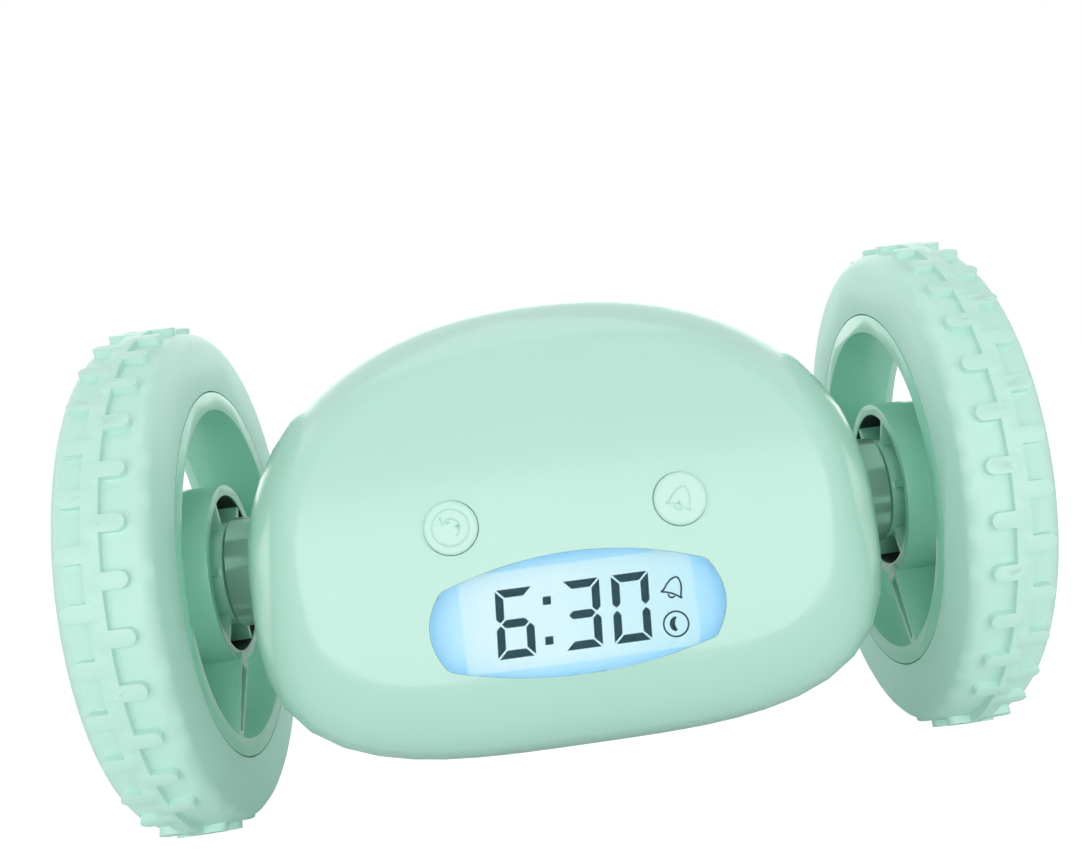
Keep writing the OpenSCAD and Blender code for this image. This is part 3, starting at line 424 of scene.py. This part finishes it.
def dress(node, material, width, angle=32, segments=2, flat=0.6):
    """A copy of a CAD node with its sharp edges rounded, which then stands for the node.

    width is that of the rounding in millimetres, and 0 leaves it out. Edges sharper than angle are
    rounded, and facets that differ by less than flat become one face; both are in degrees.
    """
    piece = add(node + "_dressed", frame["nodes"][node].data.copy())
    piece.data.materials.clear()
    piece.data.materials.append(material)
    choose(piece)
    bpy.ops.object.mode_set(mode="EDIT")
    bpy.ops.mesh.select_all(action="SELECT")
    bpy.ops.mesh.remove_doubles(threshold=WELD)
    bpy.ops.mesh.dissolve_limited(angle_limit=math.radians(flat))
    bpy.ops.object.mode_set(mode="OBJECT")
    if width:
        work_in(piece, "soft_edges", "BEVEL", width=width * MM, segments=segments, limit_method="ANGLE",
                angle_limit=math.radians(angle), miter_outer="MITER_ARC")
    bpy.ops.object.shade_smooth_by_angle(angle=SMOOTH)
    body = next(b for b, members in frame["record"]["behaviour"]["bodies"].items() if node in members)
    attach(piece, body)
    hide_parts(node)
    print(piece.name, len(piece.data.polygons), "faces")
    return piece


casings = [dress(node, CASING, 0, flat=0.02) for node in ("front_casing", "rear_casing", "battery_door")]

# %% [markdown]
# The CAD solid is a loft of flat facets, and where the display and the buttons are cut out of it,
# long thin triangles would catch the light as creases. A glossy skin needs the normals of the true
# curved form. That form is known: a rounded section, a squared side profile and a domed face that
# meet in a crease, tight at the top and soft at the bottom. It is laid out here as a fine grid, and
# each corner of an outer face takes its normal from the nearest spot on that grid. Hole walls and
# inner faces keep their own.

# %% The true form of the body
# Sizes are in millimetres and follow the CAD source's own. The rounds are powers: 2 is an ellipse,
# and a higher one is squarer. The steps say how fine the grid is. A face is part of the skin when it
# lies within SKIN_DEPTH of the form and the cosine between their normals is at least SAME_WAY.
# OUTWARD_Y tells outwards from inwards: a normal has to look away from the middle of the body.
HALF_W, TOP, BOTTOM = 55.4, 42.8, 35.9
TOP_ROUND, BOTTOM_ROUND, SIDE_ROUND = 2.19, 3.38, 3.56
FRONT_DEPTH, REAR_DEPTH, FACE_REACH, DOME_R = 35.8, 40.0, 33.0, 336.0
CREASE_TOP, CREASE_BOTTOM, CREASE_BACK = 2.0, 7.0, 0.9
EASE_LEVEL, EASE_RATE = 0.15, 1.15
PAST_SEAM = 9
TURNS, SIDE_STEPS, CREASE_STEPS, FACE_STEPS, REAR_STEPS = 180, 20, 10, 12, 30
SEARCH_FROM, HALVINGS = 0.3, 18
SKIN_DEPTH, SAME_WAY, OUTWARD_Y = 0.95, 0.8, 20


def section_radius(turn):
    across, rise = abs(math.cos(turn)), math.sin(turn)
    power, height = (TOP_ROUND, TOP) if rise >= 0 else (BOTTOM_ROUND, BOTTOM)
    return ((across / HALF_W) ** power + (abs(rise) / height) ** power) ** (-1 / power)


def squared(value):
    """The other coordinate of the squared side profile, both as shares of their full size."""
    return (1 - min(1.0, value) ** SIDE_ROUND) ** (1 / SIDE_ROUND)


def dome_y(r):
    return DOME_R - FACE_REACH - math.sqrt(DOME_R ** 2 - r * r)


def front_profile(turn):
    """Pairs of radius and y, from behind the parting line to the middle of the face.

    The edge where the side meets the dome is found by halving, and the crease then rounds it.
    """
    radius = section_radius(turn)
    ease = min(1.0, max(0.0, EASE_LEVEL - EASE_RATE * math.sin(turn)))
    soft = CREASE_TOP + (CREASE_BOTTOM - CREASE_TOP) * ease * ease * (3 - 2 * ease)
    low, high = SEARCH_FROM, 1.0
    for _ in range(HALVINGS):
        mid_share = (low + high) / 2
        past = -FRONT_DEPTH * squared(mid_share) > dome_y(mid_share * radius)
        low, high = (low, mid_share) if past else (mid_share, high)
    edge = Vector((low * radius, dome_y(low * radius)))
    first_y = edge.y + soft * CREASE_BACK
    first = Vector((squared(abs(first_y) / FRONT_DEPTH) * radius, first_y))
    last = Vector((edge.x - soft, dome_y(edge.x - soft)))
    side = [Vector((squared(abs(y) / (REAR_DEPTH if y > 0 else FRONT_DEPTH)) * radius, y))
            for y in (PAST_SEAM - (PAST_SEAM - first_y) * k / SIDE_STEPS for k in range(SIDE_STEPS))]
    crease = [(1 - t) ** 2 * first + 2 * t * (1 - t) * edge + t * t * last
              for t in (k / CREASE_STEPS for k in range(CREASE_STEPS + 1))]
    face = [Vector((last.x * k / FACE_STEPS, dome_y(last.x * k / FACE_STEPS)))
            for k in range(FACE_STEPS - 1, -1, -1)]
    return side + crease + face


def rear_profile(turn):
    radius = section_radius(turn)
    angles = [math.radians(90 * k / REAR_STEPS) for k in range(REAR_STEPS + 1)]
    return [Vector((math.cos(a) ** (2 / SIDE_ROUND) * radius, math.sin(a) ** (2 / SIDE_ROUND) * REAR_DEPTH))
            for a in angles]


def true_form(profile, way):
    """A grid over the form, as a search tree, its triangles and a normal for each grid point."""
    turns = [2 * math.pi * i / TURNS for i in range(TURNS)]
    grid = [[Vector((p.x * math.cos(t), p.y, p.x * math.sin(t))) for p in profile(t)] for t in turns]
    count = len(grid[0])
    points = [p for row in grid for p in row]
    normals = []
    for i in range(TURNS):
        for k in range(count):
            along = grid[i][min(k + 1, count - 1)] - grid[i][max(k - 1, 0)]
            around = grid[(i + 1) % TURNS][k] - grid[i - 1][k]
            normal = around.cross(along).normalized()
            normals.append(normal if normal.length > 0.5 else Vector((0, way, 0)))
            point = points[i * count + k]
            if normals[-1].dot(Vector((point.x, way * OUTWARD_Y, point.z))) < 0:
                normals[-1].negate()
    corners = []
    for i in range(TURNS):
        for k in range(count - 1):
            a, b = i * count + k, (i + 1) % TURNS * count + k
            corners += [(a, b, b + 1), (a, b + 1, a + 1)]
    return BVHTree.FromPolygons(points, corners), corners, points, normals


def true_normal(form, p):
    """The form's normal at the spot nearest to p, and how far off that spot is."""
    tree, corners, points, normals = form
    spot, _, index, far = tree.find_nearest(p)
    a, b, c = corners[index]
    blend = barycentric_transform(spot, points[a], points[b], points[c], normals[a], normals[b], normals[c])
    return blend.normalized(), far


def take_true_normals(piece, form):
    """Gives the form's normals to each face that lies on it and looks the same way."""
    to_body = BODY_FRAME.inverted()
    turned = BODY_FRAME.to_3x3()
    corner_normals = [Vector(n.vector) for n in piece.data.corner_normals]
    taken = 0
    for face in piece.data.polygons:
        centre_normal, far = true_normal(form, to_body @ face.center / MM)
        if far > SKIN_DEPTH or (turned @ centre_normal).dot(face.normal) < SAME_WAY:
            continue
        taken += 1
        for i in face.loop_indices:
            spot = to_body @ piece.data.vertices[piece.data.loops[i].vertex_index].co / MM
            corner_normals[i] = turned @ true_normal(form, spot)[0]
    piece.data.normals_split_custom_set(corner_normals)
    print(piece.name, taken, "faces take the true normals")


front_form = true_form(front_profile, -1)
rear_form = true_form(rear_profile, 1)
for piece, form in zip(casings, (front_form, rear_form, rear_form)):
    take_true_normals(piece, form)

# %% [markdown]
# ## Wheels
#
# Rims and caps are hard plastic with small roundings. The soft tyre has the widest ones, on its
# tread blocks too.

# %% Wheels
for side in ("left", "right"):
    for part, material, width in (("_rim", RIM, 0.2), ("_hub_cap", RIM, 0.25), ("_tyre", TYRE, 0.28)):
        dress(side + part, material, width)

# %% [markdown]
# The cup in the middle of each wheel is deep and narrow, and the pockets between its ribs lie in
# deep shade. That shade is painted: each wheel gets a near-black sleeve just inside the cup's wall,
# an open cylinder along the axle. Its faces are kept only between two ribs, going by their angle
# from the back towards the top, and Solidify gives them a wall.

# %% Painted shade in the hub cups
# Size of the painted-shade sleeve, and the angles of the four shaded pockets that it covers.
SHADE_SHEET_R, SHADE_SHEET_T = 14.68 * MM, 0.1 * MM
SHADE_SHEET_IN, SHADE_SHEET_OUT = 62.9 * MM, 71.8 * MM
SHADED_POCKETS = ((-128, -72), (-68, -12), (-8, 48), (52, 108))

# Each sleeve is painted shade: a dark sheet where the pockets are only in shadow.
for side, way in (("left", -1), ("right", 1)):
    deselect()
    bpy.ops.mesh.primitive_cylinder_add(
        vertices=180, radius=SHADE_SHEET_R, depth=SHADE_SHEET_OUT - SHADE_SHEET_IN, end_fill_type="NOTHING",
        location=(way * (SHADE_SHEET_IN + SHADE_SHEET_OUT) / 2, 0, 0), rotation=(0, math.radians(90), 0))
    shade_sheet = bpy.context.object
    shade_sheet.name = side + "_cup_lining"
    settle(shade_sheet)
    bpy.ops.object.mode_set(mode="EDIT")
    bpy.ops.mesh.select_all(action="DESELECT")
    mesh = bmesh.from_edit_mesh(shade_sheet.data)
    for face in mesh.faces:
        middle = face.calc_center_median()
        angle = math.degrees(math.atan2(middle.z, middle.y))
        face.select_set(not any(low < angle < high for low, high in SHADED_POCKETS))
    bmesh.update_edit_mesh(shade_sheet.data)
    bpy.ops.mesh.delete(type="FACE")
    bpy.ops.object.mode_set(mode="OBJECT")
    work_in(shade_sheet, "wall", "SOLIDIFY", thickness=SHADE_SHEET_T, offset=0)
    bpy.ops.object.shade_smooth_by_angle(angle=SMOOTH)
    shade_sheet.data.materials.append(PAINTED_SHADE)
    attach(shade_sheet, side + "_wheel")
    print(shade_sheet.name, len(shade_sheet.data.polygons), "faces")

# %% [markdown]
# The four small buttons on the back need nothing but soft edges.

# %% Rear buttons
for node in ("hour_button", "minute_button", "alarm_set_button", "mode_button"):
    dress(node, BUTTON, 0.25)

# %% [markdown]
# ## Front buttons
#
# The two round buttons carry a symbol that is pressed into their top as a fine line: an arrow
# that turns back for snooze, and a bell for the alarm. Each symbol is drawn as a curve in the
# body's own frame, given a round section, made a mesh, and cut out of the button's top by a
# Boolean modifier. The drawing is reused for the small symbols on the display.

# %% Symbols as curves
def arc(radius, start, end, steps=24):
    turns = [math.radians(start + (end - start) * i / steps) for i in range(steps + 1)]
    return [(radius * math.cos(a), radius * math.sin(a)) for a in turns]


RING = arc(1.0, 0, 360, 40)


def bell_lines():
    """A plain bell of height about 2, open below, with its clapper."""
    left = [(-1.0, -0.72), (-0.82, -0.45), (-0.72, 0.05), (-0.5, 0.6), (-0.16, 0.95)]
    dome = left + [(0.0, 1.0)] + [(-x, z) for x, z in reversed(left)]
    lip = [(-1.0, -0.72), (-0.5, -0.6), (0.0, -0.56), (0.5, -0.6), (1.0, -0.72)]
    clapper = [(x * 0.34, z * 0.34 - 0.6) for x, z in arc(1, -160, -20, 10)]
    return [dome, lip, clapper]


def snooze_lines():
    """A ring, and in it an arrow that turns back on itself."""
    hook = [(x * 0.5 + 0.02, z * 0.5 - 0.02) for x, z in arc(1, -60, 150, 16)]
    head = [(-0.5, 0.6), (-0.42, 0.2), (-0.02, 0.3)]
    return [RING, hook, head]


def draw(name, lines, x, y, z, size, turn, thickness):
    """Lines in the plane of the face at x, z, with a round section of that thickness, in millimetres."""
    curve = bpy.data.curves.new(name, "CURVE")
    curve.dimensions = "3D"
    curve.bevel_depth = thickness / 2 * MM
    curve.bevel_resolution = 2
    curve.use_fill_caps = True
    spin = Matrix.Rotation(math.radians(turn), 2)
    for line in lines:
        points = [spin @ Vector(p) * size + Vector((x, z)) for p in line]
        closed = (points[0] - points[-1]).length < 1e-3
        points = points[:-1] if closed else points
        spline = curve.splines.new("POLY")
        spline.points.add(len(points) - 1)
        for point, p in zip(spline.points, points):
            point.co = (p.x * MM, y, p.y * MM, 1)
        spline.use_cyclic_u = closed
    choose(add(name, curve))
    bpy.ops.object.convert(target="MESH")
    return settle(bpy.context.object, BODY_FRAME)


# %% [markdown]
# A button stands a little proud of the domed face, so its top is found from the dome's radius. The
# Boolean leaves long faces beside the groove, and weighted normals keep the top even.

# %% Buttons with pressed symbols
BUTTON_X, BUTTON_Z, BUTTON_PROUD, SYMBOL_LINE = 18.3, 2.8, 1.0 * MM, 0.36
BUTTON_TOP = FACE_FRONT + (BUTTON_X ** 2 + BUTTON_Z ** 2) / (2 * DOME_R) * MM - BUTTON_PROUD

for node, way, lines, size, tilt in (("snooze_button", -1, snooze_lines(), 2.9, 0),
                                     ("alarm_button", 1, bell_lines(), 2.0, -24)):
    cap = dress(node, BUTTON, 0.2, angle=50, segments=3)
    cutter = draw(node + "_symbol", lines, way * BUTTON_X, BUTTON_TOP, BUTTON_Z, size, tilt, SYMBOL_LINE)
    choose(cap)
    work_in(cap, "pressed_symbol", "BOOLEAN", operation="DIFFERENCE", solver="EXACT", use_self=True,
            object=cutter)
    bpy.data.objects.remove(cutter)
    bpy.ops.object.shade_smooth_by_angle(angle=SMOOTH)
    work_in(cap, "even_shading", "WEIGHTED_NORMAL", keep_sharp=True)
    print(cap.name, len(cap.data.polygons), "faces with its symbol")

# %% [markdown]
# ## Display
#
# Behind the clear window lies the glass of a liquid crystal display, lit from behind. The window's
# CAD solid is a thick plug, sunk a little below the face, that touches the glass. A real window is
# a thin moulding with air behind it, so its copy has its back face moved forward.

# %% Window
WINDOW_SINK, BACK_FORWARD, NEARLY = 0.3 * MM, 1.6 * MM, 0.1 * MM

window = dress("display_window", WINDOW, 0)
choose(window)
bpy.ops.object.mode_set(mode="EDIT")
mesh = bmesh.from_edit_mesh(window.data)
to_body = BODY_FRAME.inverted()
for vertex in mesh.verts:
    vertex.select_set((to_body @ vertex.co).y > LCD_FRONT - NEARLY)
mesh.select_flush(True)
bmesh.update_edit_mesh(window.data)
bpy.ops.transform.translate(value=BODY_FRAME.to_3x3() @ Vector((0, -BACK_FORWARD, 0)))
bpy.ops.object.mode_set(mode="OBJECT")
bpy.ops.object.shade_smooth_by_angle(angle=SMOOTH)
window_t = (LCD_FRONT - FACE_FRONT - WINDOW_SINK - BACK_FORWARD) / MM
print("window is", round(window_t, 2), "mm thick in the middle")

# %% [markdown]
# The dark segments are thin plates on the glass: seven for each digit, with mitred ends and a fine
# gap between neighbours, all leaning a little to the right.

# %% Plates for the digits
SEGMENT_Y, SEGMENT_T = LCD_FRONT - 0.05 * MM, 0.06 * MM


def plate(name, outlines, y, thickness, material):
    """Flat shapes in the plane of the face, filled and given a thickness towards the reader."""
    curve = bpy.data.curves.new(name, "CURVE")
    curve.dimensions = "2D"
    curve.fill_mode = "BOTH"
    curve.extrude = thickness / 2
    for outline in outlines:
        spline = curve.splines.new("POLY")
        spline.points.add(len(outline) - 1)
        for point, (x, z) in zip(spline.points, outline):
            point.co = (x * MM, z * MM, 0, 1)
        spline.use_cyclic_u = True
    choose(add(name, curve))
    bpy.ops.object.convert(target="MESH")
    made = bpy.context.object
    stand = Matrix.Translation((0, y - thickness / 2, 0)) @ Matrix.Rotation(math.radians(90), 4, "X")
    settle(made, BODY_FRAME @ stand)
    made.data.materials.append(material)
    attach(made, "chassis")


DIGIT_W, DIGIT_H, STROKE, SPLIT = 6.0, 10.9, 1.3, 0.22
DIGIT_TOP, LEAN = -7.8, math.tan(math.radians(3.7))
w, h, s, g = DIGIT_W, DIGIT_H, STROKE, SPLIT
mid = h / 2
SEGMENTS = {
    "top": [(g, 0), (w - g, 0), (w - s - g, -s), (s + g, -s)],
    "bottom": [(s + g, s - h), (w - s - g, s - h), (w - g, -h), (g, -h)],
    "middle": [(s / 2 + g, -mid), (s + g, -mid + s / 2), (w - s - g, -mid + s / 2),
               (w - s / 2 - g, -mid), (w - s - g, -mid - s / 2), (s + g, -mid - s / 2)],
    "high_left": [(0, -g), (s, -s - g), (s, -mid + s / 2 + g), (s / 2, -mid + g), (0, -mid + s / 2 + g)],
}
SEGMENTS["low_left"] = [(x, -h - z) for x, z in SEGMENTS["high_left"]]
SEGMENTS["high_right"] = [(w - x, z) for x, z in SEGMENTS["high_left"]]
SEGMENTS["low_right"] = [(w - x, z) for x, z in SEGMENTS["low_left"]]
DIGITS = {
    "6": ("top", "bottom", "middle", "high_left", "low_left", "low_right"),
    "3": ("top", "bottom", "middle", "high_right", "low_right"),
    "0": ("top", "bottom", "high_left", "low_left", "high_right", "low_right"),
}


def leaning(outline, left):
    """Puts an outline on the display at left, with the lean of the digits."""
    return [(left + x + LEAN * (z + mid), DIGIT_TOP + z) for x, z in outline]


for digit, left in (("6", -13.15), ("3", -2.45), ("0", 5.45)):
    shapes = [leaning(SEGMENTS[segment], left) for segment in DIGITS[digit]]
    plate("digit_" + digit, shapes, SEGMENT_Y, SEGMENT_T, SEGMENT)

dot = [(0, 0), (STROKE, 0), (STROKE, -STROKE), (0, -STROKE)]
COLON_LEFT, COLON_RISES = -5.6, (-1.95, -8.25)
plate("digit_colon", [leaning([(x, z + rise) for x, z in dot], COLON_LEFT) for rise in COLON_RISES],
      SEGMENT_Y, SEGMENT_T, SEGMENT)
print("digits done")

# %% [markdown]
# The area that the digits stand in is a rounded panel, a little paler than the glass around it. To
# the right of the digits stand two plain symbols, a bell and a crescent in a ring.

# %% Panel and display symbols
PANEL_Y, PANEL_T, PANEL_ROUND = LCD_FRONT - 0.01 * MM, 0.03 * MM, 2.5
ICON_Y, ICON_LINE = LCD_FRONT - 0.1 * MM, 0.28
RING_X, RING_Z, RING_R = 15.2, -16.8, 2.0
MOON_R, MOON_RIGHT = 0.62, 0.1
HOLLOW_W, HOLLOW_H, HOLLOW_X = 0.45, 0.8, 0.1
PANEL_BOX = (-17.9, 19.0, -20.6, -4.9)


def rounded_box(x0, x1, z0, z1, r):
    corners = ((x1 - r, z1 - r, 0), (x0 + r, z1 - r, 90), (x0 + r, z0 + r, 180), (x1 - r, z0 + r, 270))
    return [(cx + x, cz + z) for cx, cz, a in corners for x, z in arc(r, a, a + 90, 6)]


plate("lcd_active_area", [rounded_box(*PANEL_BOX, PANEL_ROUND)], PANEL_Y, PANEL_T, LCD_PANEL)

for name, lines, x, z, size, tilt in (("icon_bell", bell_lines(), 15.6, -11.0, 1.75, -24),
                                      ("icon_ring", [RING], RING_X, RING_Z, RING_R, 0)):
    icon = draw(name, lines, x, ICON_Y, z, size, tilt, ICON_LINE)
    icon.data.materials.append(SEGMENT)
    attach(icon, "chassis")

outer = arc(MOON_R, 100, 250, 14)
inner = [(x * HOLLOW_W + HOLLOW_X, z * HOLLOW_H) for x, z in reversed(outer)]
crescent = [(RING_X + RING_R * (x + MOON_RIGHT), RING_Z + RING_R * z) for x, z in outer + inner]
plate("icon_crescent", [crescent], SEGMENT_Y, SEGMENT_T, SEGMENT)
print("display symbols done")

# %% [markdown]
# ## What lies inside
#
# Motors, gears, cells and boards are hidden by the casings, but a reader may hide a casing to
# look in, so each gets the finish of the real thing.

# %% Finishes of the inner pieces
FINISH_OF_SLOT = {
    "lcd_panel": LCD_EDGE, "light_guide": GUIDE, "circuit_board": BOARD, "steel": STEEL, "nylon": NYLON,
    "motor_can": MOTOR_CAN, "cell_can": CELL_SLEEVE, "speaker_steel": SPEAKER,
    "casing_plastic": CASING, "button_plastic": BUTTON, "wheel_plastic": RIM, "tyre_rubber": TYRE,
    "clear_window": WINDOW,
}
for part in frame["record"]["subparts"]:
    solid = frame["nodes"][part["node"]]
    solid.data.materials.clear()
    solid.data.materials.append(FINISH_OF_SLOT[part["material_slot"]])
